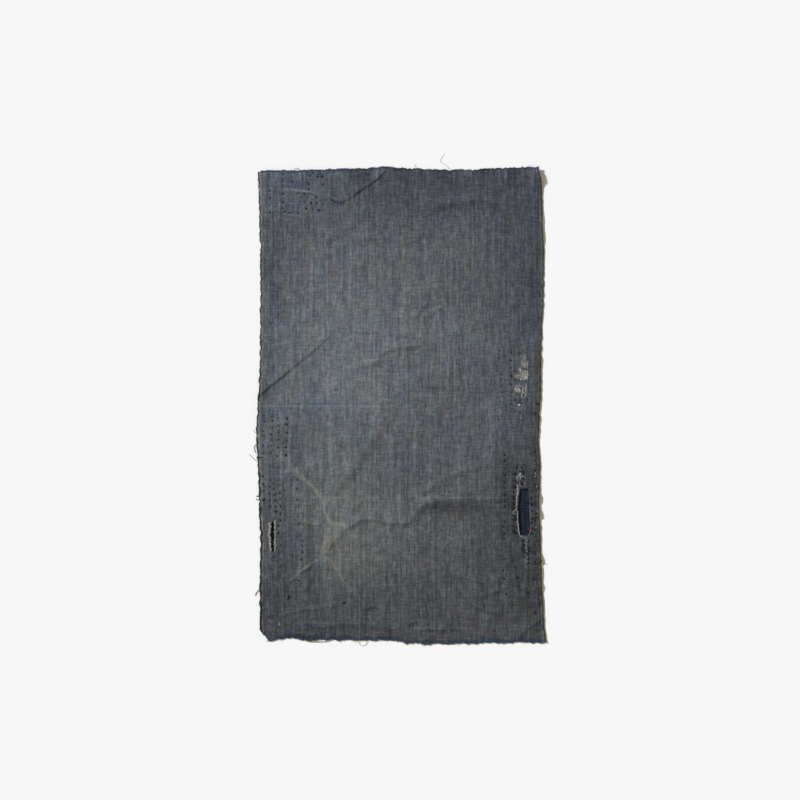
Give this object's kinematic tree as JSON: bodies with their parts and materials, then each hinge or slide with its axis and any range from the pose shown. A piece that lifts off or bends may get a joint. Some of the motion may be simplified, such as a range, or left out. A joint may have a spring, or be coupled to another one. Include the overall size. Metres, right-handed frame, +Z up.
{
  "type": "boro patched cloth",
  "caption": "Length of worn indigo cotton cloth, lying flat, with frayed cut edges, worn-through places and dark patches sewn to its back with running stitches.",
  "frame": {"origin": "middle of the cloth's plan, on the surface that it lies on", "axes": "+X across the loom width to the right as seen from above, +Y up the length of the cloth, +Z up out of the face"},
  "size_m": [0.3466, 0.5708, 0.0044],
  "materials": {
    "faded_indigo_cotton": "matte hand-woven plain weave, faded and streaked",
    "navy_cotton": "matte plain weave, dark",
    "black_cotton": "matte plain weave, near black",
    "indigo_patch_cotton": "matte plain weave, less faded than the ground cloth"
  },
  "bodies": {
    "root": {"ground_cloth": "faded_indigo_cotton", "patch_right": "navy_cotton", "patch_left_low": "black_cotton", "patch_left_high": "indigo_patch_cotton", "patch_top": "indigo_patch_cotton"}
  },
  "joints": []
}
